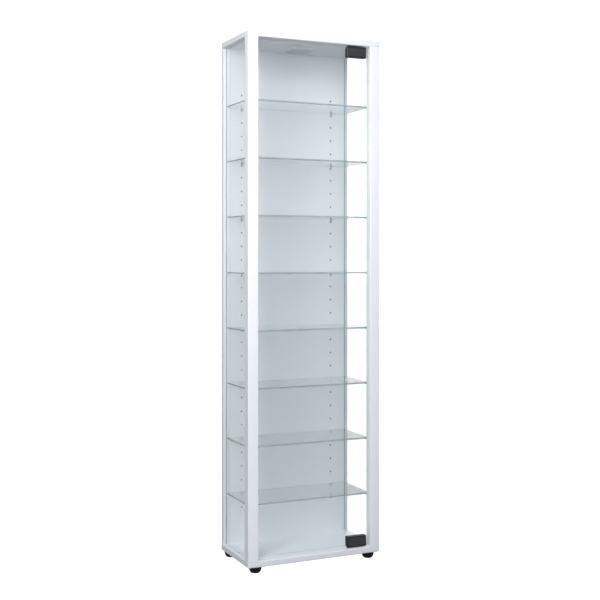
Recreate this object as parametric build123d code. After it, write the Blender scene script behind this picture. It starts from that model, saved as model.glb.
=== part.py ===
from build123d import *
import os

# Tall glass display case: white lacquered base and top boards, two front posts, a drilled
# back panel, glass sides, eight glass shelves and a frameless glass door on pivot hinges.
# Millimetres.  Origin: floor, centre of the footprint.  +X right, -Y front (door), +Z up.

# ---- driving sizes --------------------------------------------------------------------
case_w = 510.0            # outside width of base and top boards
case_d = 265.0            # outside depth of base and top boards
inner_h = 1794.0          # clear height between the boards
board_t = 22.0            # base and top board thickness
board_round = 4.0         # softened long edges of the boards
board_corner = 6.0        # softened upright corners of the boards
foot_h = 22.0             # feet under the base board
foot_top_r = 22.5
foot_flat_r = 14.0
foot_rim = 3.0            # upright rim of a foot, under the board
foot_belly = (0.72, 0.42) # roundest point, as shares of the bowl's spread and height
foot_in_front = 36.0      # front foot centres from the side edges
foot_in_rear = 28.0       # rear foot centres from the side edges
foot_in_y = 25.0          # foot centre from the front or rear edge
stud_r = 3.0              # foot stud
stud_in_foot = 12.0
stud_in_board = 14.0

post_w = 38.0             # front post, across the front
post_d = 34.0             # front post, front to back
post_round = 3.0
back_t = 16.0             # back panel
back_inset = 2.0          # back panel stands in from the board edges

side_glass_t = 4.0
side_glass_in = 14.0      # outer glass face from the board's side edge
groove_depth = 6.0        # glass grooves in the boards and the back panel
post_groove_depth = 8.0
groove_play = 0.2         # each side of the glass in the board grooves
seal_t = 0.7              # glazing channel wall
seal_floor = 1.0

hole_count = 31           # shelf support holes in each column
hole_first = 128.0        # lowest hole above the base board
hole_last = 166.0         # highest hole below the top board
hole_r = 2.5
hole_depth = 11.0
hole_in_x = 76.0          # rear hole columns from the side edges

shelf_count = 8
shelf_t = 5.0
shelf_step = 4            # holes from one shelf to the next
shelf_front_gap = 9.0     # shelf front edge behind the posts
shelf_side_gap = 2.0      # shelf end to side glass
shelf_back_gap = 0.5

plate_t = 1.5             # pressed steel shelf support
plate_w = 7.0
plate_h = 12.0
tongue_rear = 10.0        # tongue length, rear supports
tongue_front = 20.0       # tongue length, front supports, reaching under the shelf edge
tongue_rise = 1.8         # tongue top above the hole centre
plug_len = 9.0
pad_r = 2.6
pad_t = 0.7

door_t = 4.0
door_set_back = 20.0      # door front face behind the posts' front faces
door_gap_free = 3.0       # free edge to left post
door_gap_hinge = 2.5      # hinge edge to right post
door_gap_ends = 8.5       # above and below the door
edge_arris = 0.6          # ground glass edges

hinge_w = 77.0            # pivot hinge clamp
hinge_h = 40.0
hinge_front_t = 7.0       # front shell wall
hinge_back_t = 6.0        # rear jaw
gasket_t = 1.0
gasket_in = 2.0           # gasket edge inside the hinge's outline
hinge_web = 6.0           # shell under the glass edge
hinge_board_gap = 1.5
hinge_corner = 4.0
hinge_bevel = 1.6
inlay_margin = 5.0        # bevelled border round the centre plate
inlay_corner = 2.0
inlay_t = 0.8
hinge_end_gap = 10.0      # hinge end to the right post
pivot_in = 20.0           # pivot axis from the right post
pin_r = 4.0
pin_play = 0.05
bush_r = 6.0
bush_depth = 10.0
bush_floor = 1.0
flange_r = 8.0
flange_t = 1.0
clamp_screw_r = 2.0
clamp_screw_head_r = 4.0
clamp_screw_in = 20.0     # clamp screws from each end of the hinge
clamp_hole_r = 4.0        # clearance hole through the glass
clamp_screw_bite = 4.0    # thread engaged in the front shell

screw_r = 2.0             # assembly screws
screw_head_r = 4.5
screw_head_h = 3.0
screw_bite = 36.0
screw_tip_play = 2.0      # hole runs on past a screw's tip
cap_h = 2.0
recess_h = 5.0            # counterbore above the screw heads in the top board
dowel_r = 3.0
dowel_len = 30.0
dowel_in_board = 12.0
fit_play = 0.05           # radial play of screws and dowels in their holes
over = 1.0                # how far a cutter runs past the face it opens
end_play = 1.0            # room beyond the ends of glass, dowels and studs in their slots
post_screw_at = (0.32, 0.38)      # share of the post's width and depth, from the front corner
post_dowel_at = (0.70, 0.32)
back_screw_at = (-0.3, 0.0, 0.3)  # share of the case width, from the middle
back_dowel_at = (-0.4, -0.15, 0.15, 0.4)

lamp_size = 75.0          # square ceiling lamp
lamp_h = 9.0
lamp_wall = 2.0
lamp_corner = 3.0
lens_t = 2.0
lamp_board_t = 1.6
lamp_board_clear = 4.0    # circuit board edge to the tray's screws
lamp_chip = 3.0
lamp_chip_t = 0.8
lamp_chip_rows = 4
lamp_chip_spread = 1.25   # chip pitch as a share of an even division of the board
lamp_screw_r = 1.5
lamp_screw_len = 11.0
lamp_screw_out = 26.0
lamp_screw_head_r = 2.85
lamp_behind = 6.0         # lamp centre behind the middle of the shelf bay
cable_r = 4.0             # cable way through the top board
grommet_r = 7.0
grommet_h = 4.0

# ---- derived places -------------------------------------------------------------------
base_z0 = foot_h
floor_z = base_z0 + board_t               # top face of the base board
ceil_z = floor_z + inner_h                # lower face of the top board
top_z1 = ceil_z + board_t
half_w = case_w / 2
front_y = -case_d / 2
rear_y = case_d / 2
post_back_y = front_y + post_d
back_y1 = rear_y - back_inset
back_y0 = back_y1 - back_t                # front face of the back panel
glass_x = half_w - side_glass_in - side_glass_t / 2      # middle of a side glass
post_in_x = half_w - post_w               # inner faces of the posts
shelf_half = half_w - side_glass_in - side_glass_t - shelf_side_gap
shelf_y0 = post_back_y + shelf_front_gap
shelf_y1 = back_y0 - shelf_back_gap
door_y0 = front_y + door_set_back
door_y1 = door_y0 + door_t
door_mid_y = (door_y0 + door_y1) / 2
door_x0 = -post_in_x + door_gap_free
door_x1 = post_in_x - door_gap_hinge
door_z0 = floor_z + door_gap_ends
door_z1 = ceil_z - door_gap_ends
hinge_x1 = post_in_x - hinge_end_gap
hinge_x0 = hinge_x1 - hinge_w
pivot_x = post_in_x - pivot_in
hinge_front_y = door_y0 - gasket_t - hinge_front_t
hinge_back_y = door_y1 + gasket_t + hinge_back_t
mid_z = (floor_z + ceil_z) / 2
hole_pitch = (inner_h - hole_first - hole_last) / (hole_count - 1)
post_hole_in_x = (side_glass_in + side_glass_t + seal_t + post_w) / 2
back_mid_y = (back_y0 + back_y1) / 2


def joints_at(post_share, back_share):
    """Fastener places: one in each post and one per share along the back panel."""
    x = half_w - post_share[0] * post_w
    y = front_y + post_share[1] * post_d
    return [(x, y), (-x, y)] + [(share * case_w, back_mid_y) for share in back_share]


frame_screws = joints_at(post_screw_at, back_screw_at)
frame_dowels = joints_at(post_dowel_at, back_dowel_at)
foot_places = {
    "front_left": (-half_w + foot_in_front, front_y + foot_in_y),
    "front_right": (half_w - foot_in_front, front_y + foot_in_y),
    "rear_left": (-half_w + foot_in_rear, rear_y - foot_in_y),
    "rear_right": (half_w - foot_in_rear, rear_y - foot_in_y),
}
lamp_y = (post_back_y + back_y0) / 2 + lamp_behind
lamp_board_half = lamp_screw_out - lamp_board_clear


# ---- small helpers --------------------------------------------------------------------
def block(x0, x1, y0, y1, z0, z1):
    """Box between two opposite corners."""
    return Pos((x0 + x1) / 2, (y0 + y1) / 2, (z0 + z1) / 2) * Box(x1 - x0, y1 - y0, z1 - z0)


def rod(x, y, z0, z1, r):
    """Upright cylinder."""
    return Pos(x, y, (z0 + z1) / 2) * Cylinder(r, z1 - z0)


def rod_y(x, z, y0, y1, r):
    """Cylinder lying front to back."""
    return Pos(x, (y0 + y1) / 2, z) * Rot(90, 0, 0) * Cylinder(r, y1 - y0)


def cone(x, y, z0, z1, r0, r1):
    """Upright cone with radius r0 at z0 and r1 at z1."""
    return Pos(x, y, (z0 + z1) / 2) * Cone(r0, r1, z1 - z0)


def mirrored_x(part):
    """The same piece on the other side of the case."""
    return mirror(part, about=Plane.YZ)


def flipped_z(part):
    """The same piece at the other end of the door."""
    return mirror(part, about=Plane.XY.offset(mid_z))


def hole_z(index):
    """Height of a support hole, counted from the lowest."""
    return floor_z + hole_first + hole_pitch * index


def shelf_holes():
    """Hole numbers that carry the shelves, lowest first."""
    return [1 + shelf_step * i for i in range(shelf_count)]


def save(part, name):
    """Write one node; a list becomes one group of separate solids."""
    solids = part.solids() if not isinstance(part, list) else [s for p in part for s in p.solids()]
    shape = solids[0] if len(solids) == 1 else Compound(children=list(solids))
    shape.label = name
    export_step(shape, f"parts/{name}.step")


# ---- boards ---------------------------------------------------------------------------
def soft_board(z0, z1):
    """Lacquered board with rounded corners and softened edges."""
    b = block(-half_w, half_w, front_y, rear_y, z0, z1)
    b = fillet(b.edges().filter_by(Axis.Z), board_corner)
    rims = b.faces().sort_by(Axis.Z)[0].edges() + b.faces().sort_by(Axis.Z)[-1].edges()
    return fillet(rims, board_round)


def glass_groove(z0, z1):
    """Cutter for one side glass groove in a board."""
    w = side_glass_t / 2 + groove_play
    y0 = post_back_y - post_groove_depth
    y1 = back_y0 + groove_depth
    return block(glass_x - w, glass_x + w, y0, y1, z0, z1)


def base_board():
    """Base board with glass grooves, pivot socket, screw, dowel and stud holes."""
    b = soft_board(base_z0, floor_z)
    groove = glass_groove(floor_z - groove_depth, floor_z + over)
    b -= groove
    b -= mirrored_x(groove)
    b -= rod(pivot_x, door_mid_y, floor_z - bush_depth, floor_z + over, bush_r + fit_play)
    for x, y in frame_screws:
        b -= rod(x, y, base_z0 - over, floor_z + over, screw_r + fit_play)
        b -= cone(x, y, base_z0, base_z0 + screw_head_h, screw_head_r + fit_play, screw_r + fit_play)
    for x, y in frame_dowels:
        b -= rod(x, y, floor_z - dowel_in_board, floor_z + over, dowel_r + fit_play)
    for x, y in foot_places.values():
        b -= rod(x, y, base_z0 - over, base_z0 + stud_in_board + end_play, stud_r + fit_play)
    return b


def top_board():
    """Top board with glass grooves, pivot socket, capped screw holes and cable way."""
    b = soft_board(ceil_z, top_z1)
    groove = glass_groove(ceil_z - over, ceil_z + groove_depth)
    b -= groove
    b -= mirrored_x(groove)
    b -= rod(pivot_x, door_mid_y, ceil_z - over, ceil_z + bush_depth, bush_r + fit_play)
    for x, y in frame_screws:
        b -= rod(x, y, ceil_z - over, top_z1 + over, screw_r + fit_play)
        b -= rod(x, y, top_z1 - recess_h, top_z1 + over, screw_head_r + fit_play)
        seat = top_z1 - recess_h
        b -= cone(x, y, seat - screw_head_h, seat, screw_r + fit_play, screw_head_r + fit_play)
    for x, y in frame_dowels:
        b -= rod(x, y, ceil_z - over, ceil_z + dowel_in_board, dowel_r + fit_play)
    b -= rod(0, lamp_y, ceil_z - over, top_z1 + over, cable_r)
    b -= rod(0, lamp_y, top_z1 - grommet_h, top_z1 + over, grommet_r)
    for s in (-1, 1):
        b -= rod(s * lamp_screw_out, lamp_y, ceil_z - over, ceil_z + lamp_screw_len,
                 lamp_screw_r + fit_play)
    return b


# ---- posts, back panel and glass sides --------------------------------------------------
def right_post():
    """Front post with glass groove, support holes and end drillings."""
    p = block(post_in_x, half_w, front_y, post_back_y, floor_z, ceil_z)
    p = fillet(p.edges().filter_by(Axis.Z), post_round)
    w = side_glass_t / 2 + seal_t
    p -= block(glass_x - w, glass_x + w, post_back_y - post_groove_depth, post_back_y + over,
               floor_z - over, ceil_z + over)
    x = half_w - post_hole_in_x
    for i in range(hole_count):
        p -= rod_y(x, hole_z(i), post_back_y - hole_depth, post_back_y + over, hole_r)
    return end_drillings(p, lambda px, py: px > post_in_x and py < post_back_y)


def end_drillings(part, inside):
    """Screw and dowel holes in both ends of a post or panel."""
    for x, y in frame_screws:
        if inside(x, y):
            part -= rod(x, y, floor_z - over, floor_z + screw_bite, screw_r + fit_play)
            part -= rod(x, y, ceil_z - screw_bite, ceil_z + over, screw_r + fit_play)
    stick_out = dowel_len - dowel_in_board + end_play
    for x, y in frame_dowels:
        if inside(x, y):
            part -= rod(x, y, floor_z - over, floor_z + stick_out, dowel_r + fit_play)
            part -= rod(x, y, ceil_z - stick_out, ceil_z + over, dowel_r + fit_play)
    return part


def back_panel():
    """Back panel with two glass grooves and two columns of support holes."""
    x = half_w - back_inset
    p = block(-x, x, back_y0, back_y1, floor_z, ceil_z)
    w = side_glass_t / 2 + seal_t
    groove = block(glass_x - w, glass_x + w, back_y0 - over, back_y0 + groove_depth,
                   floor_z - over, ceil_z + over)
    p -= groove
    p -= mirrored_x(groove)
    column = half_w - hole_in_x
    for i in range(hole_count):
        for s in (-1, 1):
            p -= rod_y(s * column, hole_z(i), back_y0 - over, back_y0 + hole_depth, hole_r)
    return end_drillings(p, lambda px, py: py > back_y0)


def side_glass():
    """Right side pane, standing in the lower groove."""
    t = side_glass_t / 2
    y0 = post_back_y - post_groove_depth + seal_floor
    y1 = back_y0 + groove_depth - seal_floor
    return block(glass_x - t, glass_x + t, y0, y1, floor_z - groove_depth,
                 ceil_z + groove_depth - end_play)


def glazing_channel(y_mouth, y_floor):
    """U channel that lines an upright groove; y_floor is the bottom of the groove."""
    t = side_glass_t / 2
    into = 1 if y_floor > y_mouth else -1
    y0, y1 = sorted((y_mouth, y_floor))
    c = block(glass_x - t - seal_t, glass_x + t + seal_t, y0, y1, floor_z, ceil_z)
    g0, g1 = sorted((y_mouth - into, y_floor - into * seal_floor))
    return c - block(glass_x - t, glass_x + t, g0, g1, floor_z - over, ceil_z + over)


# ---- shelves and their supports ---------------------------------------------------------
def shelf(z_hole):
    """Ground edge glass shelf lying on four padded supports."""
    z0 = z_hole + tongue_rise + pad_t
    s = block(-shelf_half, shelf_half, shelf_y0, shelf_y1, z0, z0 + shelf_t)
    return chamfer(s.edges(), edge_arris)


def support(x, y_wall, z_hole, out):
    """Pressed steel support: plug, back plate, tongue and rib; out is +1 or -1 along Y."""
    reach = tongue_front if out > 0 else tongue_rear
    top = z_hole + tongue_rise
    half = plate_w / 2
    plug = rod_y(x, z_hole, *sorted((y_wall, y_wall - out * plug_len)), hole_r - fit_play)
    ya, yb = sorted((y_wall, y_wall + out * plate_t))
    plate = block(x - half, x + half, ya, yb, top - plate_h, top)
    ya, yb = sorted((y_wall, y_wall + out * reach))
    tongue = block(x - half, x + half, ya, yb, top - plate_t, top)
    rib_face = Plane(origin=(x, y_wall, top), x_dir=(0, out, 0), z_dir=(1, 0, 0))
    a, b = plate_t / 2, tongue_rear - plate_t
    outline = [(a, -a), (b, -a), (a, plate_t - plate_h)]
    rise = 1 if out > 0 else -1
    corners = [(u, rise * v) for u, v in outline]
    rib = extrude(rib_face * make_face(Polyline(*corners, close=True)), plate_t / 2, both=True)
    return plug + plate + tongue + rib


def pad(x, y_wall, z_hole, out):
    """Clear pad between a tongue and the shelf."""
    z0 = z_hole + tongue_rise
    reach = tongue_front if out > 0 else tongue_rear
    y = y_wall + out * (reach - pad_r - plate_t / 2)
    return rod(x, y, z0, z0 + pad_t, pad_r)


def support_places():
    """All rear and all front support places as (x, y_wall, z, out)."""
    rear, front = [], []
    for i in shelf_holes():
        for s in (-1, 1):
            rear.append((s * (half_w - hole_in_x), back_y0, hole_z(i), -1))
            front.append((s * (half_w - post_hole_in_x), post_back_y, hole_z(i), 1))
    return rear, front


# ---- door and hinges ----------------------------------------------------------------------
def clamp_screw_xs():
    """The two clamp screws of a hinge."""
    return (hinge_x0 + clamp_screw_in, hinge_x1 - clamp_screw_in)


def clamp_z():
    """Height of the lower hinge's clamp screws."""
    return (door_z0 + floor_z + hinge_board_gap + hinge_h) / 2


def door_glass():
    """Door pane with ground edges and clamp screw holes at both hinge corners."""
    d = block(door_x0, door_x1, door_y0, door_y1, door_z0, door_z1)
    d = chamfer(d.edges(), edge_arris)
    for x in clamp_screw_xs():
        hole = rod_y(x, clamp_z(), door_y0 - over, door_y1 + over, clamp_hole_r)
        d -= hole
        d -= flipped_z(hole)
    return d


def rounded_plate(x0, x1, y0, y1, z0, z1, r):
    """Plate facing the front with rounded corners."""
    return fillet(block(x0, x1, y0, y1, z0, z1).edges().filter_by(Axis.Y), r)


def hinge_shell():
    """Lower hinge shell: bevelled front wall with a web under the glass edge."""
    z0 = floor_z + hinge_board_gap
    y1 = door_y0 - gasket_t
    wall = rounded_plate(hinge_x0, hinge_x1, hinge_front_y, y1, z0, z0 + hinge_h, hinge_corner)
    wall = chamfer(wall.faces().sort_by(Axis.Y)[0].edges(), hinge_bevel)
    m = inlay_margin
    wall -= rounded_plate(hinge_x0 + m, hinge_x1 - m, hinge_front_y - over,
                          hinge_front_y + inlay_t, z0 + m, z0 + hinge_h - m, inlay_corner)
    web = block(hinge_x0 + hinge_corner, hinge_x1 - hinge_corner / 2, y1 - over, hinge_back_y,
                z0, z0 + hinge_web)
    s = wall + web
    for x in clamp_screw_xs():
        s -= rod_y(x, clamp_z(), y1 - clamp_screw_bite, y1 + over, clamp_screw_r + fit_play)
    s -= rod(pivot_x, door_mid_y, z0 - over, z0 + hinge_web + over, pin_r + fit_play)
    return s


def hinge_inlay():
    """Satin centre plate set into the lower hinge shell."""
    z0 = floor_z + hinge_board_gap
    m = inlay_margin + fit_play
    return rounded_plate(hinge_x0 + m, hinge_x1 - m, hinge_front_y - inlay_t / 4,
                         hinge_front_y + inlay_t, z0 + m, z0 + hinge_h - m, inlay_corner)


def hinge_jaw():
    """Rear jaw of the lower hinge, above the web, with countersunk screw holes."""
    z0 = floor_z + hinge_board_gap
    y0, y1 = door_y1 + gasket_t, hinge_back_y
    low = z0 + hinge_web + hinge_board_gap / 2
    j = rounded_plate(hinge_x0, hinge_x1, y0, y1, low, z0 + hinge_h, hinge_corner)
    j = chamfer(j.faces().sort_by(Axis.Y)[-1].edges(), hinge_bevel / 2)
    for x in clamp_screw_xs():
        j -= rod_y(x, clamp_z(), y0 - over, y1 + over, clamp_screw_r + fit_play)
        j -= countersink(x, clamp_z(), y1, fit_play)
    return j


def countersink(x, z, y_face, play):
    """Cone whose wide end lies in the rear face of the jaw."""
    h = clamp_screw_head_r - clamp_screw_r
    c = Cone(clamp_screw_r + play, clamp_screw_head_r + play, h)
    return Pos(x, y_face - h / 2, z) * Rot(-90, 0, 0) * c


def clamp_screw(x, z):
    """Countersunk screw through jaw and glass into the front shell."""
    y_tip = door_y0 - gasket_t - clamp_screw_bite + fit_play
    return rod_y(x, z, y_tip, hinge_back_y, clamp_screw_r) + countersink(x, z, hinge_back_y, 0)


def gaskets():
    """Front and rear gaskets of the lower hinge, with screw holes."""
    z1 = floor_z + hinge_board_gap + hinge_h - gasket_in
    sheets = []
    for y0 in (door_y0 - gasket_t, door_y1):
        g = block(hinge_x0 + gasket_in, hinge_x1 - gasket_in, y0, y0 + gasket_t,
                  door_z0 + edge_arris, z1)
        for x in clamp_screw_xs():
            g -= rod_y(x, clamp_z(), y0 - over, y0 + gasket_t + over, clamp_hole_r)
        sheets.append(g)
    return sheets


def pivot_pin():
    """Lower pivot pin, fast in the hinge shell and turning in the bush."""
    z0 = floor_z - bush_depth + bush_floor + pin_play
    p = rod(pivot_x, door_mid_y, z0, floor_z + hinge_board_gap + hinge_web, pin_r)
    return chamfer(p.faces().sort_by(Axis.Z)[0].edges(), pin_r / 5)


def pivot_bush():
    """Flanged bush in the base board."""
    b = rod(pivot_x, door_mid_y, floor_z - bush_depth, floor_z, bush_r)
    b += rod(pivot_x, door_mid_y, floor_z, floor_z + flange_t, flange_r)
    return b - rod(pivot_x, door_mid_y, floor_z - bush_depth + bush_floor,
                   floor_z + flange_t + over, pin_r + pin_play)


# ---- feet and fasteners ---------------------------------------------------------------------
def foot(x, y):
    """Bowl shaped foot, wide at the board and flat on the floor."""
    bowl_h = foot_h - foot_rim
    belly = (foot_flat_r + foot_belly[0] * (foot_top_r - foot_flat_r), foot_belly[1] * bowl_h)
    side = ThreePointArc((foot_flat_r, 0), belly, (foot_top_r, bowl_h))
    outline = side + Polyline((foot_top_r, bowl_h), (foot_top_r, foot_h), (0, foot_h),
                              (0, 0), (foot_flat_r, 0))
    bowl = revolve(Plane.XZ * make_face(outline), Axis.Z)
    bowl = Pos(x, y, 0) * bowl
    return bowl - rod(x, y, foot_h - stud_in_foot, foot_h + over, stud_r + fit_play)


def foot_stud(x, y):
    """Threaded stud between a foot and the base board."""
    return rod(x, y, foot_h - stud_in_foot, foot_h + stud_in_board, stud_r)


def base_screw(x, y):
    """Countersunk screw from below the base board."""
    s = rod(x, y, base_z0, floor_z + screw_bite - screw_tip_play, screw_r)
    return s + cone(x, y, base_z0, base_z0 + screw_head_h, screw_head_r, screw_r)


def top_screw(x, y):
    """Countersunk screw from the recess in the top board."""
    seat = top_z1 - recess_h
    s = rod(x, y, ceil_z - screw_bite + screw_tip_play, seat, screw_r)
    return s + cone(x, y, seat - screw_head_h, seat, screw_r, screw_head_r)


def screw_cap(x, y):
    """Push-in cap that closes a recess flush with the top board."""
    return rod(x, y, top_z1 - cap_h, top_z1, screw_head_r)


def dowel(x, y, z_joint, up):
    """Beech dowel across a joint; up is +1 where the longer end points up."""
    ends = sorted((z_joint - up * dowel_in_board, z_joint + up * (dowel_len - dowel_in_board)))
    d = rod(x, y, ends[0], ends[1], dowel_r)
    return chamfer(d.edges().filter_by(GeomType.CIRCLE), dowel_r / 6)


# ---- ceiling lamp ---------------------------------------------------------------------------
def lamp_housing():
    """Square tray screwed under the top board."""
    h = lamp_size / 2
    z0 = ceil_z - lamp_h
    t = block(-h, h, lamp_y - h, lamp_y + h, z0, ceil_z)
    t = fillet(t.edges().filter_by(Axis.Z), lamp_corner)
    i = h - lamp_wall
    t -= block(-i, i, lamp_y - i, lamp_y + i, z0 - over, ceil_z - lamp_wall)
    t -= rod(0, lamp_y, z0, ceil_z + over, cable_r)
    for s in (-1, 1):
        t -= rod(s * lamp_screw_out, lamp_y, z0, ceil_z + over, lamp_screw_r + fit_play)
    return t


def lamp_lens():
    """Frosted lens closing the tray."""
    i = lamp_size / 2 - lamp_wall - fit_play
    z0 = ceil_z - lamp_h
    return block(-i, i, lamp_y - i, lamp_y + i, z0, z0 + lens_t)


def lamp_board():
    """Circuit board on stand-off under the tray's roof, clear of the screw heads."""
    half = lamp_board_half
    z1 = ceil_z - lamp_wall
    b = block(-half, half, lamp_y - half, lamp_y + half, z1 - lamp_board_t, z1)
    return b - rod(0, lamp_y, z1 - lamp_board_t - over, z1 + over, cable_r / 2)


def lamp_chips():
    """Rows of light emitting chips on the board."""
    z1 = ceil_z - lamp_wall - lamp_board_t
    c = lamp_chip / 2
    pitch = lamp_chip_spread * 2 * lamp_board_half / lamp_chip_rows
    span = [(i - (lamp_chip_rows - 1) / 2) * pitch for i in range(lamp_chip_rows)]
    return [block(x - c, x + c, lamp_y + y - c, lamp_y + y + c, z1 - lamp_chip_t, z1)
            for x in span for y in span]


def lamp_screw(x):
    """Pan head screw holding the tray."""
    roof = ceil_z - lamp_wall
    s = rod(x, lamp_y, roof, ceil_z + lamp_screw_len - screw_tip_play / 2, lamp_screw_r)
    return s + rod(x, lamp_y, roof - lamp_screw_r, roof, lamp_screw_head_r)


def grommet():
    """Flush ring lining the cable way in the top board."""
    g = rod(0, lamp_y, top_z1 - grommet_h, top_z1, grommet_r - fit_play)
    return g - rod(0, lamp_y, top_z1 - grommet_h - over, top_z1 + over, cable_r)


# ---- whole case -------------------------------------------------------------------------------
def build_all():
    """Every node by name."""
    nodes = {"base_board": base_board(), "top_board": top_board()}
    post = right_post()
    nodes["post_right"] = post
    nodes["post_left"] = mirrored_x(post)
    nodes["back_panel"] = back_panel()
    pane = side_glass()
    nodes["side_glass_right"] = pane
    nodes["side_glass_left"] = mirrored_x(pane)
    front_u = glazing_channel(post_back_y, post_back_y - post_groove_depth)
    rear_u = glazing_channel(back_y0, back_y0 + groove_depth)
    nodes["glazing_channels_right"] = [front_u, rear_u]
    nodes["glazing_channels_left"] = [mirrored_x(front_u), mirrored_x(rear_u)]
    for n, i in enumerate(reversed(shelf_holes()), start=1):
        nodes[f"shelf_{n}"] = shelf(hole_z(i))
    rear, front = support_places()
    nodes["rear_shelf_supports"] = [support(*p) for p in rear]
    nodes["front_shelf_supports"] = [support(*p) for p in front]
    nodes["shelf_pads"] = [pad(*p) for p in rear + front]
    nodes["door_glass"] = door_glass()
    nodes.update(hinge_nodes())
    for name, (x, y) in foot_places.items():
        nodes[f"foot_{name}"] = foot(x, y)
    nodes["foot_studs"] = [foot_stud(x, y) for x, y in foot_places.values()]
    nodes["base_screws"] = [base_screw(x, y) for x, y in frame_screws]
    nodes["top_screws"] = [top_screw(x, y) for x, y in frame_screws]
    nodes["screw_caps"] = [screw_cap(x, y) for x, y in frame_screws]
    nodes["base_dowels"] = [dowel(x, y, floor_z, 1) for x, y in frame_dowels]
    nodes["top_dowels"] = [dowel(x, y, ceil_z, -1) for x, y in frame_dowels]
    nodes["lamp_housing"] = lamp_housing()
    nodes["lamp_lens"] = lamp_lens()
    nodes["lamp_board"] = lamp_board()
    nodes["lamp_chips"] = lamp_chips()
    nodes["lamp_screws"] = [lamp_screw(s * lamp_screw_out) for s in (-1, 1)]
    nodes["cable_grommet"] = grommet()
    return nodes


def hinge_nodes():
    """Lower hinge pieces and their upper twins."""
    lower = {"hinge_shell": hinge_shell(), "hinge_jaw": hinge_jaw(), "hinge_inlay": hinge_inlay(),
             "pivot_pin": pivot_pin(), "pivot_bush": pivot_bush()}
    nodes = {}
    for name, piece in lower.items():
        nodes[name + "_lower"] = piece
        nodes[name + "_upper"] = flipped_z(piece)
    pads = gaskets()
    nodes["hinge_gaskets"] = pads + [flipped_z(g) for g in pads]
    screws = [clamp_screw(x, clamp_z()) for x in clamp_screw_xs()]
    nodes["hinge_screws"] = screws + [flipped_z(s) for s in screws]
    return nodes


os.makedirs("parts", exist_ok=True)
for node_name, node_part in build_all().items():
    save(node_part, node_name)
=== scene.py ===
# %% [markdown]
# # A glass display case, dressed in Blender
# The case itself comes from the workshop drawing: every board, pane, screw and hinge is
# already in place, in metres.  This lesson gives each of them the finish of the real piece,
# remakes the few that need finer shapes, and then sets up a plain studio around the case.
# We start by loading the fixed frame.

# %% load the case
import bpy
import math
import numpy as np
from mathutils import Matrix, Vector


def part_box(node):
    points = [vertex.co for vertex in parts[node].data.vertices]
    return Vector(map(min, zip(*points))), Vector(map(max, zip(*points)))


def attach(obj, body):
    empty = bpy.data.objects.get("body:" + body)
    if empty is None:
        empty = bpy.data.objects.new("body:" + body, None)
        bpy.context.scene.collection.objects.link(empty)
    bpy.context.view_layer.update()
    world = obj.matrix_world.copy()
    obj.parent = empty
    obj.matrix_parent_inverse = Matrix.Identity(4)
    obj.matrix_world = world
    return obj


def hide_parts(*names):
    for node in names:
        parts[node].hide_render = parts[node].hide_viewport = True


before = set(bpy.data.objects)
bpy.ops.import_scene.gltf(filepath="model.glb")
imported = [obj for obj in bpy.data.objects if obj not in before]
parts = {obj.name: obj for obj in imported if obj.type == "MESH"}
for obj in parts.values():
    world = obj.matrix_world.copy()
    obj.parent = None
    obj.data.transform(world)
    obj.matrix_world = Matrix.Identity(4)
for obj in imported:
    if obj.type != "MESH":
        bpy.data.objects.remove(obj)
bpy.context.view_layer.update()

# %% [markdown]
# ## A small workbench of shader helpers
# A finish is a small graph of nodes.  Writing the same five lines for every node hides what
# the finish does, so these helpers make one node each: `wire` sets or links the inputs of a
# new node, and the others are the patterns that nearly every finish here uses.  Uniform
# values are written straight on the shader's own sockets, so that other programs read them.

# %% helpers that make one node each
def wire(tree, kind, inputs=(), **settings):
    """Make a node; inputs maps a socket's name or number to a value or to another socket."""
    made = tree.nodes.new(kind)
    for name, value in settings.items():
        setattr(made, name, value)
    for name, value in dict(inputs).items():
        if isinstance(value, bpy.types.NodeSocket):
            tree.links.new(value, made.inputs[name])
        else:
            made.inputs[name].default_value = value
    return made


def calc(tree, operation, *values):
    """One arithmetic step on sockets or numbers."""
    return wire(tree, "ShaderNodeMath", dict(enumerate(values)), operation=operation).outputs[0]


def place(tree, stretch=(1, 1, 1), turn=(0, 0, 0)):
    """Object coordinates in metres, stretched and turned to carry a pattern."""
    spot = wire(tree, "ShaderNodeTexCoord").outputs["Object"]
    return wire(tree, "ShaderNodeMapping", {"Vector": spot, "Scale": stretch,
                                            "Rotation": turn}).outputs[0]


def cloud(tree, per_metre, detail=3.0, stretch=(1, 1, 1), roughness=0.5):
    """Soft random pattern, from 0 to 1, with so many blobs to the metre."""
    inputs = {"Vector": place(tree, stretch), "Scale": per_metre,
              "Detail": detail, "Roughness": roughness}
    return wire(tree, "ShaderNodeTexNoise", inputs).outputs["Fac"]


def spread(tree, factor, low, high, start=0.3, end=0.7):
    """Stretch a pattern so that start..end becomes low..high."""
    return wire(tree, "ShaderNodeMapRange", {"Value": factor, "From Min": start, "From Max": end,
                                             "To Min": low, "To Max": high}).outputs[0]


def blend_colours(tree, factor, first, second):
    """Mix two colours by a pattern."""
    mixed = wire(tree, "ShaderNodeMix", data_type="RGBA")
    for name, value in (("Factor", factor), ("A", first), ("B", second)):
        sockets = [s for s in mixed.inputs if s.name == name and s.enabled]
        if isinstance(value, bpy.types.NodeSocket):
            tree.links.new(value, sockets[0])
        else:
            sockets[0].default_value = value if name == "Factor" else (*value, 1)
    return [s for s in mixed.outputs if s.enabled][0]


def relief(tree, height, depth_mm, strength=1.0):
    """Turn a pattern into bumps of so many millimetres."""
    return wire(tree, "ShaderNodeBump", {"Height": height, "Distance": depth_mm / 1000,
                                         "Strength": strength}).outputs[0]


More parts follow.
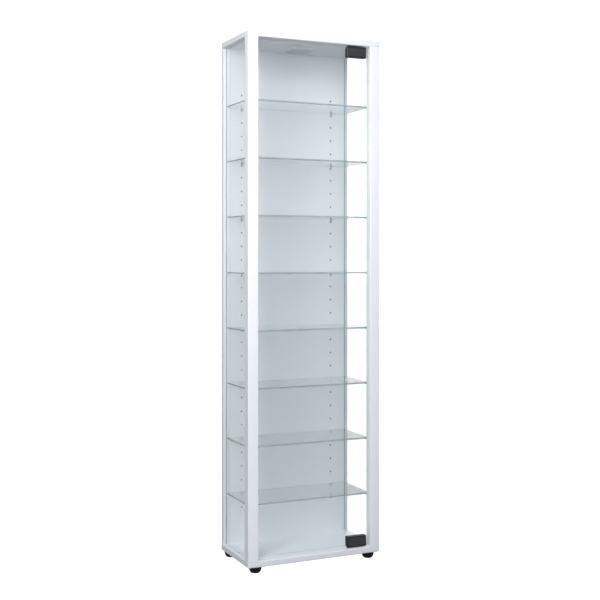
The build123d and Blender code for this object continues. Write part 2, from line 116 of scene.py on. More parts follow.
def near_edges(tree, low, high, width_mm):
    """1 along the edges of the box low..high and 0 on its faces: near to two faces at once.

    Each axis gives a ramp that rises within width_mm of its two faces.  The product of two
    ramps is large only where two faces meet, and the largest of the three products wins."""
    split = wire(tree, "ShaderNodeSeparateXYZ", {"Vector": place(tree)})
    ramps = []
    for axis in range(3):
        centre, half = (low[axis] + high[axis]) / 2, (high[axis] - low[axis]) / 2
        out = calc(tree, "ABSOLUTE", calc(tree, "SUBTRACT", split.outputs[axis], centre))
        ramps.append(spread(tree, out, 0, 1, half - width_mm / 1000, half))
    pairs = [calc(tree, "MULTIPLY", ramps[a], ramps[b]) for a, b in ((0, 1), (1, 2), (0, 2))]
    return calc(tree, "MAXIMUM", calc(tree, "MAXIMUM", pairs[0], pairs[1]), pairs[2])


def new_finish(name):
    """An empty material with its output and one Principled shader, ready to be wired."""
    material = bpy.data.materials.new(name)
    material.use_nodes = True
    tree = material.node_tree
    tree.nodes.clear()
    shader = wire(tree, "ShaderNodeBsdfPrincipled")
    output = wire(tree, "ShaderNodeOutputMaterial", {"Surface": shader.outputs[0]})
    return material, tree, shader, output


def feed(tree, shader, **inputs):
    """Set or link the shader's inputs; an underscore stands for a space."""
    for name, value in inputs.items():
        socket = shader.inputs[name.replace("_", " ")]
        if isinstance(value, bpy.types.NodeSocket):
            tree.links.new(value, socket)
        elif isinstance(value, tuple) and len(value) == 3:
            socket.default_value = (*value, 1)
        else:
            socket.default_value = value


def dress(finish, *names):
    """Put one finish on the named parts, in place of the plain one they came with."""
    for name in names:
        slots = parts[name].data.materials
        slots.clear()
        slots.append(finish)


# %% [markdown]
# ## White lacquer on the boards and posts
# The boards are fibreboard under sprayed lacquer.  Sprayed lacquer is never flat: it dries
# into a very fine orange peel, its gloss wanders a little, and it pulls thin and a little rougher
# along the edges, where a lighter colour is painted on as a highlight.  A fine noise gives the
# peel, a broad one the gloss, and the edge ramp the painted highlight and the rougher thin lacquer.
# The posts are the same paint, rubbed to a higher gloss, and painted a lighter, bluer white so
# that they read brighter: painted light.

# %% lacquer
def lacquer(name, part, colour, gloss, peel_mm):
    """Sprayed lacquer: fine orange peel, wandering gloss, thin rougher paint along the edges with a
    painted highlight.
    """
    material, tree, shader, _ = new_finish(name)
    low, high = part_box(part)
    edge = near_edges(tree, low, high, 5.0)
    shade = blend_colours(tree, spread(tree, cloud(tree, 3.0), 0, 1),
                          colour, tuple(c * 0.965 for c in colour))
    # painted highlight: within 5 mm of the edges, broken by noise, the colour turns lighter; the
    # same mask makes the edges rougher
    edge_highlight_and_wear = calc(tree, "MULTIPLY", edge, spread(tree, cloud(tree, 220.0), 0.15, 0.9))
    tone = blend_colours(tree, edge_highlight_and_wear, shade, tuple(min(1.0, c * 1.06) for c in colour))
    dull = spread(tree, cloud(tree, 14.0, 4.0), gloss * 0.8, gloss * 1.35)
    feed(tree, shader, Base_Color=tone,
         Roughness=calc(tree, "ADD", dull, calc(tree, "MULTIPLY", edge_highlight_and_wear, 0.12)),
         Normal=relief(tree, cloud(tree, 620.0, 2.0), peel_mm, 0.35),
         IOR=1.5, Coat_Weight=0.25, Coat_Roughness=0.12)
    return material


board_white = (0.865, 0.880, 0.930)
# painted light: the posts' white is the boards' white made lighter and bluer, so that they read
# brighter
post_white_lit = (0.910, 0.925, 0.975)
dress(lacquer("board_lacquer_lower", "base_board", board_white, 0.34, 0.05), "base_board")
dress(lacquer("board_lacquer_upper", "top_board", board_white, 0.34, 0.05), "top_board")
for side in ("left", "right"):
    dress(lacquer(f"post_lacquer_{side}", f"post_{side}", post_white_lit, 0.20, 0.03), f"post_{side}")
print("lacquered:", "two boards and two posts")

# %% [markdown]
# ## The back panel
# A back panel is not sprayed but faced with melamine paper: flatter, duller and a shade
# bluer than the lacquer, with a faint pebble pressed into it.  The drilled holes break
# through the paper; whatever lies deeper than the face is painted near black, much darker
# than raw board: painted shade in every bore.  A thin dark rim painted round each hole is
# painted shade too, and makes the holes read wider.  That thin rim is a distance from the
# nearest hole centre, folded at the holes' own pitch.

# %% melamine
hole_pitch, hole_count, first_hole, hole_r = 0.050, 31, 0.128, 0.0025
support_half = 0.0035               # half the width of a shelf support
hole_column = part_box("rear_shelf_supports")[1][0] - support_half


def hole_shade_rims(tree, base):
    """1 in a thin rim of painted shade round each support hole: the distance to the nearest hole
    centre.

    The height above the first hole, counted in pitches and folded to its nearest whole
    number, gives the distance along the column; the second is across it."""
    split = wire(tree, "ShaderNodeSeparateXYZ", {"Vector": place(tree)})
    across = calc(tree, "SUBTRACT", calc(tree, "ABSOLUTE", split.outputs[0]), hole_column)
    rise = calc(tree, "SUBTRACT", split.outputs[2], base + first_hole)
    count = calc(tree, "DIVIDE", rise, hole_pitch)
    nearest = calc(tree, "MINIMUM", calc(tree, "MAXIMUM", calc(tree, "ROUND", count, 0), 0),
                   hole_count - 1)
    along = calc(tree, "MULTIPLY", calc(tree, "SUBTRACT", count, nearest), hole_pitch)
    away = calc(tree, "SQRT", calc(tree, "ADD", calc(tree, "MULTIPLY", across, across),
                                   calc(tree, "MULTIPLY", along, along)), 0)
    # painted shade: full up to 0.4 mm beyond the hole's edge, gone by 0.9 mm
    rim_shade_full, rim_shade_gone = hole_r + 0.0004, hole_r + 0.0009
    return spread(tree, away, 1, 0, rim_shade_full, rim_shade_gone)


def melamine(name, part, colour):
    """Pressed paper face with a fine pebble; deeper than the face it is painted near black, as
    shade in the bores.
    """
    material, tree, shader, _ = new_finish(name)
    low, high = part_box(part)
    depth = wire(tree, "ShaderNodeSeparateXYZ", {"Vector": place(tree)}).outputs[1]
    paper, fade = 0.0004, 0.0012        # paper face, and where the raw board is fully bare
    front = spread(tree, depth, 0, 1, low[1] + paper, low[1] + fade)
    back = spread(tree, depth, 1, 0, high[1] - fade, high[1] - paper)
    inside = calc(tree, "MULTIPLY", front, back)
    grain = spread(tree, cloud(tree, 900.0, 3.0), 0, 1)
    # painted shade: the bores are near black, far darker than raw board, with a fine grain
    shaded_fibre = blend_colours(tree, grain, (0.030, 0.028, 0.026), (0.055, 0.050, 0.045))
    outer = blend_colours(tree, near_edges(tree, low, high, 3.0), shaded_fibre, colour)
    face = blend_colours(tree, spread(tree, cloud(tree, 2.2), 0, 1),
                         colour, tuple(c * 0.97 for c in colour))
    on_front = spread(tree, depth, 1, 0, low[1] + paper, low[1] + fade)
    rims = calc(tree, "MULTIPLY", hole_shade_rims(tree, low[2]), on_front)
    # painted shade: a thin dark rim round each hole, on the front face only
    face = blend_colours(tree, rims, face, (0.10, 0.105, 0.11))
    split = wire(tree, "ShaderNodeSeparateXYZ", {"Vector": place(tree)})
    half = (high[0] - low[0]) / 2
    sideways = calc(tree, "ABSOLUTE", split.outputs[0])
    edging = spread(tree, sideways, 0, 1, half - 0.0015, half - 0.0005)
    bore = blend_colours(tree, edging, outer, colour)
    feed(tree, shader, Base_Color=blend_colours(tree, inside, face, bore),
         Roughness=spread(tree, cloud(tree, 30.0, 4.0), 0.38, 0.55),
         Normal=relief(tree, cloud(tree, 1100.0, 2.0), 0.04, 0.4), IOR=1.48)
    return material


dress(melamine("back_melamine", "back_panel", (0.80, 0.835, 0.875)), "back_panel")

# %% [markdown]
# ## Glass
# Float glass is clear through its face and green through its edge, because light that
# enters an edge travels the whole width of the sheet.  The sheets here are real slabs, so
# Blender bends and mirrors light in them by itself.  Only the ground edge needs help: where
# the surface faces sideways instead of along the sheet's thickness, the tint turns green and
# the polish turns satin.  At a shallow angle Layer Weight turns the colour grey: a little of
# that is the sheet's own body colour, the rest, strongest on the shelves, is painted shade.
# Shadow and scattered rays go straight through, as daylight does through a thin sheet, so the
# shelves below stay bright.

# %% glass
def sheet_glass(name, through, clear, shallow, edge_tint, edge_dull, daylight):
    """Slab of float glass; through is the axis (0, 1 or 2) of the sheet's thickness.

    daylight is how much of a scattered or shadow ray each face lets through."""
    material, tree, shader, output = new_finish(name)
    normal = wire(tree, "ShaderNodeNewGeometry").outputs["True Normal"]
    along = wire(tree, "ShaderNodeSeparateXYZ", {"Vector": normal}).outputs[through]
    rim = spread(tree, calc(tree, "ABSOLUTE", along), 1, 0, 0.55, 0.9)
    grazing = wire(tree, "ShaderNodeLayerWeight", {"Blend": 0.35}).outputs["Facing"]
    # painted shade: at a flat angle the colour turns to the given grey, beyond what the glass's own
    # body colour gives
    body = blend_colours(tree, spread(tree, grazing, 0, 1, 0.45, 0.95), clear, shallow)
    streak = spread(tree, cloud(tree, 160.0, 2.0), 0.75, 1.25)
    feed(tree, shader, Base_Color=blend_colours(tree, rim, body, edge_tint),
         Roughness=calc(tree, "MULTIPLY", calc(tree, "MULTIPLY", rim, streak), edge_dull),
         Normal=relief(tree, cloud(tree, 5.0, 1.0), 0.03, 0.25),
         Transmission_Weight=1.0, IOR=1.5)
    ray = wire(tree, "ShaderNodeLightPath").outputs
    open_way = calc(tree, "MAXIMUM", ray["Is Shadow Ray"], ray["Is Diffuse Ray"])
    passing = (daylight * 0.99, daylight, daylight, 1)
    clear_way = wire(tree, "ShaderNodeBsdfTransparent", {"Color": passing})
    mixed = wire(tree, "ShaderNodeMixShader", {0: open_way, 1: shader.outputs[0],
                                              2: clear_way.outputs[0]})
    tree.links.new(mixed.outputs[0], output.inputs["Surface"])
    return material


green_edge = (0.80, 0.93, 0.91)
# the second colour is the grey seen at a flat angle: on the shelves mostly painted shade
shelf_glass = sheet_glass("shelf_float_glass", 2, (0.96, 0.985, 0.98), (0.62, 0.70, 0.70),
                          green_edge, 0.12, 0.87)
side_glass = sheet_glass("side_float_glass", 0, (0.97, 0.985, 0.985), (0.93, 0.95, 0.95),
                         green_edge, 0.10, 0.96)
door_glass = sheet_glass("door_toughened_glass", 1, (0.975, 0.99, 0.988), (0.92, 0.95, 0.95),
                         green_edge, 0.10, 0.96)
shelves = sorted(n for n in parts if n.startswith("shelf_") and n[-1].isdigit())
dress(shelf_glass, *shelves)
dress(side_glass, "side_glass_left", "side_glass_right")
dress(door_glass, "door_glass")
print("glazed:", len(shelves), "shelves, two sides and the door")

# %% [markdown]
# ## Metals
# Three metals are left as they come from the works: nickel on the pressed shelf supports,
# bright zinc on the screws and turned steel on the pivot pins.  All share one recipe, since
# they differ in colour, in how dull they are and in which way the tool marks run.

# %% metals
def bare_metal(name, colour, dull, marks_per_metre, stretch, marks_mm):
    """Metal with tool marks: a noise drawn out along one axis scratches gloss and relief."""
    material, tree, shader, _ = new_finish(name)
    marks = cloud(tree, marks_per_metre, 3.0, stretch)
    stain = spread(tree, cloud(tree, 60.0, 4.0), 0, 1)
    feed(tree, shader, Base_Color=blend_colours(tree, stain, colour,
                                                tuple(c * 0.82 for c in colour)),
         Metallic=1.0, Roughness=spread(tree, marks, dull * 0.7, dull * 1.5),
         Normal=relief(tree, marks, marks_mm, 0.5))
    return material


nickel = bare_metal("support_nickel", (0.40, 0.41, 0.44), 0.30, 500.0, (1, 1, 0.2), 0.02)
zinc = bare_metal("screw_zinc", (0.64, 0.66, 0.68), 0.30, 700.0, (1, 1, 1), 0.03)
turned_steel = bare_metal("pin_turned_steel", (0.60, 0.60, 0.60), 0.22, 900.0,
                          (0.1, 0.1, 3), 0.02)
dress(nickel, "rear_shelf_supports", "front_shelf_supports")
dress(zinc, "foot_studs", "base_screws", "top_screws", "lamp_screws", "hinge_screws")
dress(turned_steel, "pivot_pin_lower", "pivot_pin_upper")

# %% [markdown]
# ## Black hinges
# The hinge clamps are cast and powder coated: a deep grey black with a very fine grit that
# breaks up the highlight, polished by fingers along the bevels so less rough there, with a
# lighter colour painted on along them as a highlight.  The plate set into each is brushed
# sideways and a little lighter, which is how the border reads as a frame.

# %% powder coat and brushed plate
def powder_coat(name, part, colour):
    """Black powder coat: fine grit in relief and gloss; a painted highlight and a smoother polish
    along the edges.
    """
    material, tree, shader, _ = new_finish(name)
    low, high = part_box(part)
    grit = cloud(tree, 2600.0, 2.0)
    # painted highlight: within 2.5 mm of the edges, broken by noise, the colour turns lighter; the
    # same mask lowers the roughness
    bevel_highlight_and_polish = calc(tree, "MULTIPLY", near_edges(tree, low, high, 2.5),
                  spread(tree, cloud(tree, 300.0), 0.2, 1.0))
    feed(tree, shader, Base_Color=blend_colours(tree, bevel_highlight_and_polish, colour,
                                                tuple(c * 3.2 + 0.01 for c in colour)),
         Roughness=calc(tree, "SUBTRACT", spread(tree, grit, 0.36, 0.50),
                        calc(tree, "MULTIPLY", bevel_highlight_and_polish, 0.12)),
         Normal=relief(tree, grit, 0.03, 0.6), IOR=1.5)
    return material


def brushed_black(name):
    """Anodised plate brushed along its length: long thin streaks in gloss and relief."""
    material, tree, shader, _ = new_finish(name)
    streaks = cloud(tree, 900.0, 4.0, (0.03, 1, 1))
    feed(tree, shader, Base_Color=blend_colours(tree, spread(tree, streaks, 0, 1),
                                                (0.040, 0.041, 0.043), (0.075, 0.076, 0.080)),
         Metallic=0.35, Roughness=spread(tree, streaks, 0.28, 0.46),
         Normal=relief(tree, streaks, 0.02, 0.5))
    return material


for end in ("lower", "upper"):
    for piece in ("shell", "jaw"):
        node_name = f"hinge_{piece}_{end}"
        dress(powder_coat(f"{piece}_coat_{end}", node_name, (0.007, 0.007, 0.008)), node_name)
plate_black = brushed_black("hinge_plate_brushed")
dress(plate_black, "hinge_inlay_lower", "hinge_inlay_upper")

# %% [markdown]
# ## Plastics, rubber and wood
# The small fittings are moulded.  Moulded plastic carries the mould's own polish: a gentle
# ripple and a slow change of gloss.  Rubber is duller with a fine bloom.  The dowels are
# beech, whose grain runs the length of the peg with short dark flecks across it.

# %% moulded parts, rubber and beech
def moulded(name, colour, dull, ripple_mm, depth=0.0):
    """Moulded plastic or rubber: slow gloss changes and a faint ripple; depth lets light in."""
    material, tree, shader, _ = new_finish(name)
    drift = spread(tree, cloud(tree, 45.0, 4.0), 0, 1)
    feed(tree, shader, Base_Color=blend_colours(tree, drift, colour,
                                                tuple(c * 0.88 for c in colour)),
         Roughness=spread(tree, cloud(tree, 400.0, 3.0), dull * 0.75, dull * 1.3),
         Normal=relief(tree, cloud(tree, 300.0, 2.0), ripple_mm, 0.4),
         IOR=1.48, Transmission_Weight=depth)
    return material


def beech(name):
    """Beech: a noise drawn out along Z for grain, with short darker flecks."""
    material, tree, shader, _ = new_finish(name)
    grain = cloud(tree, 260.0, 5.0, (1, 1, 0.06), 0.6)
    fleck = spread(tree, cloud(tree, 900.0, 2.0, (1, 1, 0.25)), 0, 1, 0.62, 0.72)
    wood = blend_colours(tree, spread(tree, grain, 0, 1), (0.62, 0.43, 0.25), (0.74, 0.56, 0.36))
    feed(tree, shader, Base_Color=blend_colours(tree, fleck, wood, (0.40, 0.25, 0.13)),
         Roughness=spread(tree, grain, 0.5, 0.7), Normal=relief(tree, grain, 0.05, 0.6))
    return material


foot_black = moulded("foot_gloss_black", (0.003, 0.003, 0.003), 0.20, 0.05)
gasket_black = moulded("gasket_rubber", (0.02, 0.02, 0.021), 0.60, 0.05)
dress(foot_black, *[n for n in parts if n.startswith("foot_") and n != "foot_studs"])
dress(moulded("channel_grey", (0.34, 0.38, 0.40), 0.45, 0.03),
      "glazing_channels_left", "glazing_channels_right")
dress(moulded("pad_clear", (0.85, 0.88, 0.88), 0.25, 0.03, 0.6), "shelf_pads")
dress(moulded("bush_nylon", (0.74, 0.74, 0.70), 0.40, 0.03), "pivot_bush_lower", "pivot_bush_upper")
cap_white = moulded("cap_white", (0.83, 0.84, 0.87), 0.35, 0.03)
dress(cap_white, "screw_caps")
dress(gasket_black, "hinge_gaskets", "cable_grommet")
dress(beech("dowel_beech"), "base_dowels", "top_dowels")

# %% [markdown]
# ## The ceiling lamp
# The lamp is a shallow painted tray with a circuit board of small yellow chips behind a
# frosted lens.  It is switched off, so the lens only scatters what falls on it.

# %% lamp finishes
def frosted(name):
    """Frosted lens: milky, half clear, with a fine etched grain."""
    material, tree, shader, _ = new_finish(name)
    etched = cloud(tree, 1500.0, 2.0)
    feed(tree, shader, Base_Color=blend_colours(tree, spread(tree, etched, 0, 1),
                                                (0.80, 0.84, 0.87), (0.87, 0.90, 0.92)),
         Roughness=spread(tree, etched, 0.32, 0.5), Normal=relief(tree, etched, 0.02, 0.5),
         IOR=1.49, Transmission_Weight=0.35)
    return material


dress(moulded("lamp_tray_paint", (0.66, 0.69, 0.72), 0.30, 0.03), "lamp_housing")
lens_frosted = frosted("lamp_frosted_lens")
dress(lens_frosted, "lamp_lens")
dress(moulded("lamp_board_white", (0.72, 0.74, 0.70), 0.40, 0.02), "lamp_board")
dress(moulded("lamp_chip_yellow", (0.78, 0.66, 0.16), 0.25, 0.02), "lamp_chips")
bare = sorted(n for n in parts
              if not parts[n].data.materials or parts[n].data.materials[0] is None)
print("parts still without a finish:", bare)

# %% [markdown]
# ## Pieces remade as surfaces
# Some fittings deserve a finer shape than the workshop drawing gives them: the turned feet,
# the pressed plates in the hinges, the clamp screws, the lamp's prismatic lens, the screw
# caps and the cable grommet.  Each is a stack of rings.  A ring is a row of points, the stack
# is an array, and `skin` joins every point to its neighbours and closes both ends.

# %% rings, skins and turned shapes
MM = 0.001


def skin(stacks, joined=False):
    """Points and faces for stacks of rings, each an array (rings, points, 3).

    A point joins the next point of its ring and the same point of the next ring.  Flat caps
    close the first and last ring, unless the stack is joined end to end, like a tube ring."""
    points, faces, start = [], [], 0
    for rings in stacks:
        rows, columns = rings.shape[:2]
        index = start + np.arange(rows * columns).reshape(rows, columns)
        lower = index if joined else index[:-1]
        upper = np.roll(index, -1, 0) if joined else index[1:]
        quads = np.stack([lower, np.roll(lower, -1, 1), np.roll(upper, -1, 1), upper], -1)
        faces += quads.reshape(-1, 4).tolist()
        if not joined:
            faces += [index[0][::-1].tolist(), index[-1].tolist()]
        points.append(rings.reshape(-1, 3))
        start += rows * columns
    return np.concatenate(points), faces


def turned(outline, sides, hexagon=0.0):
    """Lathe: the outline's point (r, z) at turn t lies at (r cos t, r sin t, z).

    hexagon, one share per point of the outline, presses a ring towards a hexagon, whose
    radius at turn t is cos 30 over the cosine of the turn left to the nearest flat's middle."""
    outline = np.asarray(outline, float)
    turn = np.linspace(0, 2 * np.pi, sides, endpoint=False)
    flat = np.cos(np.pi / 6) / np.cos((turn + np.pi / 6) % (np.pi / 3) - np.pi / 6)
    share = np.broadcast_to(np.asarray(hexagon, float), len(outline))[:, None]
    radius = outline[:, :1] * (1 - share + share * flat)
    height = np.broadcast_to(outline[:, 1:], radius.shape)
    return np.stack([radius * np.cos(turn), radius * np.sin(turn), height], -1) * MM


def rounded_rings(half_wide, half_high, corner, insets, heights, steps=8):
    """Rounded rectangles, one per inset, stacked at the given heights (all in millimetres).

    A ring is four quarter circles; each inset shrinks the sides and tightens the corners."""
    turn = np.linspace(0, np.pi / 2, steps)
    turns = (turn[None] + np.arange(4)[:, None] * np.pi / 2).ravel()
    across = np.repeat([1, -1, -1, 1], steps)
    upward = np.repeat([1, 1, -1, -1], steps)
    inset = np.asarray(insets, float)[:, None]
    radius = np.maximum(corner - inset, 0.15)
    x = across * (half_wide - inset - radius) + radius * np.cos(turns)
    y = upward * (half_high - inset - radius) + radius * np.sin(turns)
    z = np.broadcast_to(np.asarray(heights, float)[:, None], x.shape)
    return np.stack([x, y, z], -1) * MM


def facing_front(rings):
    """Tip a stack that grows upwards so that it grows towards the front (-Y)."""
    return np.stack([rings[..., 0], -rings[..., 2], rings[..., 1]], -1)


def facing_back(rings):
    """Tip a stack that grows upwards so that it grows towards the back (+Y)."""
    return np.stack([rings[..., 0], rings[..., 2], -rings[..., 1]], -1)


def make_piece(name, points, faces, finish, body, slot, *stands_for):
    """A smooth mesh with crisp edges, dressed, riding on its body in place of drawn parts."""
    mesh = bpy.data.meshes.new(name)
    mesh.from_pydata(np.asarray(points).tolist(), [], faces)
    mesh.polygons.foreach_set("use_smooth", np.ones(len(faces), bool))
    mesh.set_sharp_from_angle(angle=math.radians(38))
    mesh.materials.append(finish)
    piece = bpy.data.objects.new(name, mesh)
    bpy.context.scene.collection.objects.link(piece)
    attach(piece, body)
    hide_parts(*stands_for)
    print(f"{name}: {len(mesh.vertices)} points")
    return piece


def middle(part):
    """Centre of a part's box, in metres."""
    low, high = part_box(part)
    return np.array([(a + b) / 2 for a, b in zip(low, high)])


# %% [markdown]
# ## Feet
# A foot is turned from black plastic: a flat sole with an eased edge, a bowl that swells
# quickly and then stands nearly upright, two shallow grooves and a rim under the board.  The
# bowl's radius follows a sine and its height a power, which gives that quick swelling.

# %% turn the feet
def foot_outline():
    """(radius, height) of a foot in millimetres, sole to rim."""
    sole_r, rim_r, bowl_h, foot_h = 14.0, 22.5, 19.0, 22.0
    sole = [(sole_r - 2.2, 0.0), (sole_r - 1.0, 0.05), (sole_r - 0.2, 0.35)]
    t = np.linspace(0.08, 1.0, 30)
    height = bowl_h * t ** 1.25
    radius = sole_r + (rim_r - sole_r) * np.sin(np.pi / 2 * t)
    for groove_z in (11.5, 15.0):
        radius = radius - 0.35 * np.exp(-((height - groove_z) / 0.45) ** 2)
    rim = [(rim_r - 0.6, bowl_h + 0.2), (rim_r, bowl_h + 0.7), (rim_r, foot_h - 0.5),
           (rim_r - 0.4, foot_h)]
    return np.concatenate([sole, np.stack([radius, height], 1), rim])


foot_shape = turned(foot_outline(), 64)
for corner in ("front_left", "front_right", "rear_left", "rear_right"):
    node_name = f"foot_{corner}"
    x, y, _ = middle(node_name)
    points, faces = skin([foot_shape + (x, y, 0)])
    make_piece(f"turned_{node_name}", points, faces, foot_black, "cabinet", "foot_plastic",
               node_name)

# %% [markdown]
# ## Hinge plates and clamp screws
# The plate set into each hinge is pressed: its edge is broken by a small bevel and its face
# swells a tenth of a millimetre, enough to bend a highlight.  The clamp screws behind the
# glass have countersunk heads with a hexagon socket.

# %% press the plates and turn the screws
def pressed_plate(low, high):
    """Rounded rectangle rising over a bevel to a slightly swollen face; corners in metres."""
    half_wide, half_high = (high[0] - low[0]) / 2 / MM, (high[2] - low[2]) / 2 / MM
    thick = (high[1] - low[1]) / MM
    bevel, swell, corner = 0.45, 0.12, 2.0
    inward = np.linspace(0, 1, 8)
    innermost = half_high - 1.5
    insets = np.concatenate([[0, 0], bevel + inward * (innermost - bevel)])
    rise = thick - swell * np.cos(np.pi / 2 * inward)
    heights = np.concatenate([[0, thick - swell - bevel * 0.8], rise])
    return facing_front(rounded_rings(half_wide, half_high, corner, insets, heights))


for end in ("lower", "upper"):
    low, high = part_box(f"hinge_inlay_{end}")
    x, _, z = middle(f"hinge_inlay_{end}")
    points, faces = skin([pressed_plate(low, high) + (x, high[1], z)])
    make_piece(f"pressed_plate_{end}", points, faces, plate_black, "door", "hinge_satin",
               f"hinge_inlay_{end}")

screw_low, screw_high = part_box("hinge_screws")
screw_long = (screw_high[1] - screw_low[1]) / MM
shaft_r, socket_r, head_r = 2.0, 1.3, 4.0
screw_outline = [(1.4, 0), (shaft_r, 0.6), (shaft_r, screw_long - 2.0),
                 (3.9, screw_long - 0.15), (3.8, screw_long - 0.02), (3.5, screw_long),
                 (1.45, screw_long), (socket_r, screw_long - 0.15), (socket_r, screw_long - 1.4)]
socket = [0, 0, 0, 0, 0, 0, 1, 1, 1]
screw_shape = facing_back(turned(screw_outline, 36, socket))
inset = head_r * MM
spots = [(x, z) for x in (screw_low[0] + inset, screw_high[0] - inset)
         for z in (screw_low[2] + inset, screw_high[2] - inset)]
points, faces = skin([screw_shape + (x, screw_low[1], z) for x, z in spots])
make_piece("socket_screws", points, faces, zinc, "door", "screw_steel", "hinge_screws")

# %% [markdown]
# ## Lamp lens, screw caps and grommet
# The lens is moulded with rows of tiny pyramids that spread the light: the height is the
# product of two rectified sines.  A skirt and a flat back close it into a solid sheet.  The
# caps are low domes and the grommet is a ring with a rounded section, joined end to end.

# %% mould the lens, the caps and the grommet
def prism_lens(low, high, pitch_mm, depth_mm, per_pitch=4):
    """Sheet whose lower face carries pyramids: depth |sin(pi x/p)| |sin(pi y/p)| upwards."""
    count = int(round((high[0] - low[0]) / MM / pitch_mm)) * per_pitch + 1
    xs, ys = np.linspace(low[0], high[0], count), np.linspace(low[1], high[1], count)
    x, y = np.meshgrid(xs, ys, indexing="ij")
    wave = np.abs(np.sin(np.pi * (x - low[0]) / (pitch_mm * MM)))
    wave = wave * np.abs(np.sin(np.pi * (y - low[1]) / (pitch_mm * MM)))
    face = np.stack([x, y, low[2] + depth_mm * MM * wave], -1)
    index = np.arange(count * count).reshape(count, count)
    quads = np.stack([index[:-1, :-1], index[:-1, 1:], index[1:, 1:], index[1:, :-1]], -1)
    loop = np.concatenate([index[:-1, 0], index[-1, :-1], index[:0:-1, -1], index[0, :0:-1]])
    top = face.reshape(-1, 3)[loop].copy()
    top[:, 2] = high[2]
    above = count * count + np.arange(len(loop))
    skirt = np.stack([loop, np.roll(loop, -1), np.roll(above, -1), above], -1)
    points = np.concatenate([face.reshape(-1, 3), top])
    return points, quads.reshape(-1, 4).tolist() + skirt.tolist() + [above.tolist()]


points, faces = prism_lens(*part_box("lamp_lens"), pitch_mm=3.0, depth_mm=0.5)
make_piece("prismatic_lens", points, faces, lens_frosted, "cabinet", "lamp_lens", "lamp_lens")

def mesh_points(part):
    """All of a part's vertices as one array, each place once."""
    vertices = parts[part].data.vertices
    flat = np.empty(len(vertices) * 3)
    vertices.foreach_get("co", flat)
    return np.unique(np.round(flat.reshape(-1, 3), 6), axis=0)


def middles(spots, reach):
    """Centres of scattered pieces: vertices within reach of each other are one piece."""
    found = []
    while len(spots):
        near = np.hypot(*(spots[:, :2] - spots[0, :2]).T) < reach
        found.append((spots[near].min(0) + spots[near].max(0)) / 2)
        spots = spots[~near]
    return found


cap_r, cap_wall, cap_h, crown_r = 4.5, 1.2, 2.0, 1.2
dome = np.linspace(0, np.pi / 2, 7)[:-1]
cap_outline = [(cap_r, 0), *zip(cap_r - 0.9 * (1 - np.cos(dome)) - 0.05,
                                cap_wall + (cap_h - cap_wall) * np.sin(dome)),
               (crown_r, cap_h)]
cap_shape = turned(cap_outline, 40)
cap_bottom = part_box("screw_caps")[0][2]
cap_spots = middles(mesh_points("screw_caps"), 2.5 * cap_r * MM)
points, faces = skin([cap_shape + (x, y, cap_bottom) for x, y, _ in cap_spots])
make_piece("domed_caps", points, faces, cap_white, "cabinet", "cap_plastic", "screw_caps")

ring_low, ring_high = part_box("cable_grommet")
ring_out, ring_h = (ring_high[0] - ring_low[0]) / 2 / MM, (ring_high[2] - ring_low[2]) / MM
ring_in, ease = 4.0, 0.8            # the cable's hole, and the rounding of both rims
round_off = np.linspace(0, np.pi / 2, 5)
outer_edge = np.stack([ring_out - ease + ease * np.cos(round_off),
                       ring_h - ease + ease * np.sin(round_off)], 1)
inner_edge = np.stack([ring_in + ease - ease * np.sin(round_off),
                       ring_h - ease + ease * np.cos(round_off)], 1)
ring_outline = np.concatenate([[(ring_out, 0)], outer_edge, inner_edge, [(ring_in, 0)]])
x, y, _ = middle("cable_grommet")
points, faces = skin([turned(ring_outline, 48) + (x, y, ring_low[2])], joined=True)
make_piece("rounded_grommet", points, faces, gasket_black, "cabinet", "gasket_rubber",
           "cable_grommet")

# %% [markdown]
# ## The studio
# A tall white case is lit like a bottle.  Two soft boxes stand high, one at its front left
# corner and one in front, so that the posts burn to white at the top and fall to a cool grey
# at the foot.  A wide one at chest height lifts the boards, and one behind serves the back,
# hidden from rays that look through the glass.  Floor and world are white where they are
# seen and dim where they light the case, or all the shading would drown; white that was
# crossed by a shelf is drawn far dimmer, as painted shade that greys the shelves seen at a flat
# angle.

# %% floor, world and lights
def studio_white(tree, strength, behind_shelves):
    """Strength of the white seen directly; rays that crossed a shelf as well see it dimmer, as
    painted shade.
    """
    crossed = wire(tree, "ShaderNodeLightPath").outputs["Transmission Depth"]
    door_and_side, and_shelf = 4.5, 5.5     # a ray counts two faces for every sheet
    return spread(tree, crossed, strength, strength * behind_shelves, door_and_side, and_shelf)


# painted shade: white seen through a shelf keeps only this share of its strength
shelf_painted_shade = 0.12


def matte(name, colour, glow):
    """Matte stage paint with a little glow of its own, so the floor stays pale."""
    material, tree, shader, output = new_finish(name)
    feed(tree, shader, Base_Color=blend_colours(tree, spread(tree, cloud(tree, 1.5), 0, 1),
                                                colour, tuple(c * 0.99 for c in colour)),
         Roughness=spread(tree, cloud(tree, 6.0), 0.85, 0.95), Specular_IOR_Level=0.1)
    ray = wire(tree, "ShaderNodeLightPath").outputs
    seen = calc(tree, "MAXIMUM", ray["Is Camera Ray"], ray["Is Transmission Ray"])
    glowing = wire(tree, "ShaderNodeEmission",
                   {"Color": (1, 1, 1, 1), "Strength": studio_white(tree, glow, shelf_painted_shade)})
    glow_share = 0.7
    both = wire(tree, "ShaderNodeMixShader", {0: calc(tree, "MULTIPLY", seen, glow_share),
                                             1: shader.outputs[0], 2: glowing.outputs[0]})
    tree.links.new(both.outputs[0], output.inputs["Surface"])
    return material


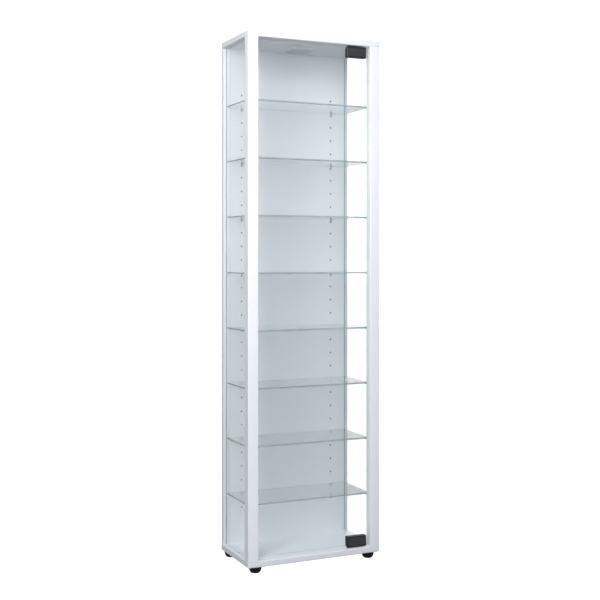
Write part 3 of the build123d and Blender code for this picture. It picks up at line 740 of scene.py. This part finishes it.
reach = 40.0
corners = [(x * reach, y * reach, 0.0) for x, y in ((-1, -1), (1, -1), (1, 1), (-1, 1))]
floor_mesh = bpy.data.meshes.new("studio_floor")
floor_mesh.from_pydata(corners, [], [(0, 1, 2, 3)])
floor = bpy.data.objects.new("studio_floor", floor_mesh)
bpy.context.scene.collection.objects.link(floor)
floor_mesh.materials.append(matte("studio_floor_white", (0.30, 0.30, 0.31), 1.75))

seen_white, fill_high, fill_low = 1.45, 0.25, 0.25
world = bpy.data.worlds.new("studio_world")
bpy.context.scene.world = world
world.use_nodes = True
sky = world.node_tree
sky.nodes.clear()
up = wire(sky, "ShaderNodeSeparateXYZ",
          {"Vector": wire(sky, "ShaderNodeTexCoord").outputs["Generated"]}).outputs[2]
fill = wire(sky, "ShaderNodeBackground",
            {"Color": (0.84, 0.92, 1.0, 1),
             "Strength": spread(sky, up, fill_low, fill_high, -0.1, 0.7)})
white = wire(sky, "ShaderNodeBackground",
             {"Color": (1, 1, 1, 1), "Strength": studio_white(sky, seen_white, shelf_painted_shade)})
ray = wire(sky, "ShaderNodeLightPath").outputs
mirrored = calc(sky, "SUBTRACT", ray["Is Glossy Ray"], ray["Is Transmission Ray"])
bounced = calc(sky, "MAXIMUM", ray["Is Diffuse Ray"], mirrored)
mixed_sky = wire(sky, "ShaderNodeMixShader", {0: bounced, 1: white.outputs[0], 2: fill.outputs[0]})
wire(sky, "ShaderNodeOutputWorld", {"Surface": mixed_sky.outputs[0]})


def soft_box(name, at, aim, width, height, watts, colour=(1, 1, 1)):
    """Rectangular lamp at one point, turned to face another."""
    lamp = bpy.data.lights.new(name, "AREA")
    lamp.shape, lamp.size, lamp.size_y = "RECTANGLE", width, height
    lamp.energy, lamp.color = watts, colour
    holder = bpy.data.objects.new(name, lamp)
    bpy.context.scene.collection.objects.link(holder)
    away = np.array(at, float) - np.array(aim, float)
    holder.location = at
    yaw = math.atan2(away[0], -away[1])
    pitch = math.atan2(math.hypot(away[0], away[1]), away[2])
    holder.rotation_euler = (pitch, 0, yaw)
    return holder


soft_box("key_corner", (-1.5, -1.5, 2.0), (0, 0, 1.4), 0.9, 1.1, 38)
soft_box("fill_front", (-0.5, -3.6, 1.4), (0, 0, 1.0), 2.0, 2.0, 19)
soft_box("high_front", (-0.6, -2.6, 3.0), (0, 0, 1.3), 1.8, 1.2, 29)
behind = soft_box("rear_fill", (1.3, 2.6, 1.5), (0, 0.13, 0.9), 1.6, 1.8, 30)
behind.visible_camera = behind.visible_transmission = False

# %% [markdown]
# ## The camera
# The camera stands at chest height to the left of the door and looks level, so the posts
# stay upright.  Sliding the picture down instead of tilting the camera is what an architect's
# shift lens does.

# %% camera
sensor_mm, image_px, focal_px = 36.0, 600.0, 1054.35
horizon_drop = 43.91            # the level line sits this far above the middle of the frame
camera_data = bpy.data.cameras.new("studio_camera")
camera_data.sensor_width = sensor_mm
camera_data.lens = sensor_mm * focal_px / image_px
camera_data.shift_y = -horizon_drop / image_px
camera_data.clip_end = 200.0
camera = bpy.data.objects.new("studio_camera", camera_data)
bpy.context.scene.collection.objects.link(camera)
camera.location = (-1.59287, -3.46436, 1.08673)
camera.rotation_euler = (math.radians(90), 0, math.radians(-24.69))
bpy.context.scene.camera = camera

# %% [markdown]
# ## Last settings
# Light crosses many sheets of glass on its way to the lowest shelf, so it needs leave to
# pass that often.  The plain Standard view keeps white as white.

# %% light paths and view
scene = bpy.context.scene
scene.view_settings.view_transform = "Standard"
scene.cycles.max_bounces = 24
scene.cycles.transmission_bounces = 24
scene.cycles.transparent_max_bounces = 64
scene.cycles.diffuse_bounces = 5
scene.cycles.glossy_bounces = 8
